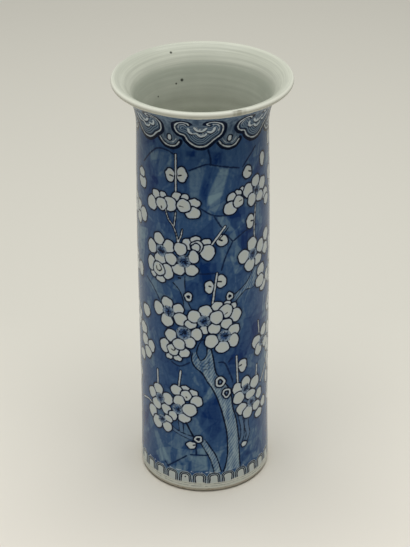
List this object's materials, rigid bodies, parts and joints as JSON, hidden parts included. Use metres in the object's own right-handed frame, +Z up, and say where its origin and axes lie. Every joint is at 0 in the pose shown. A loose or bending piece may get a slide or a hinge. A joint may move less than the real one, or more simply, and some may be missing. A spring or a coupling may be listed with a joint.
{
  "type": "beaker vase",
  "caption": "Tall cylindrical porcelain vase with a flared mouth, rolled lip and recessed foot, painted in underglaze blue with prunus on cracked ice.",
  "frame": {"origin": "centre of the standing ring, on the surface that the vase stands on", "axes": "+Z up along the vase's axis; the side that the picture shows faces -Y; +X is to the right in the picture"},
  "size_m": [0.1186, 0.1186, 0.3],
  "materials": {
    "cobalt_under_glaze": "clear glossy glaze over cobalt painting",
    "pale_glaze": "clear glossy glaze with a faint green-grey cast",
    "biscuit_clay": "fired clay smeared into the seam"
  },
  "bodies": {
    "root": {"foot_and_base": "pale_glaze", "lower_sleeve": "cobalt_under_glaze", "upper_sleeve": "cobalt_under_glaze", "flared_mouth": "pale_glaze", "base_seam_coil": "biscuit_clay", "body_seam_coil": "biscuit_clay", "neck_seam_coil": "biscuit_clay"}
  },
  "joints": []
}
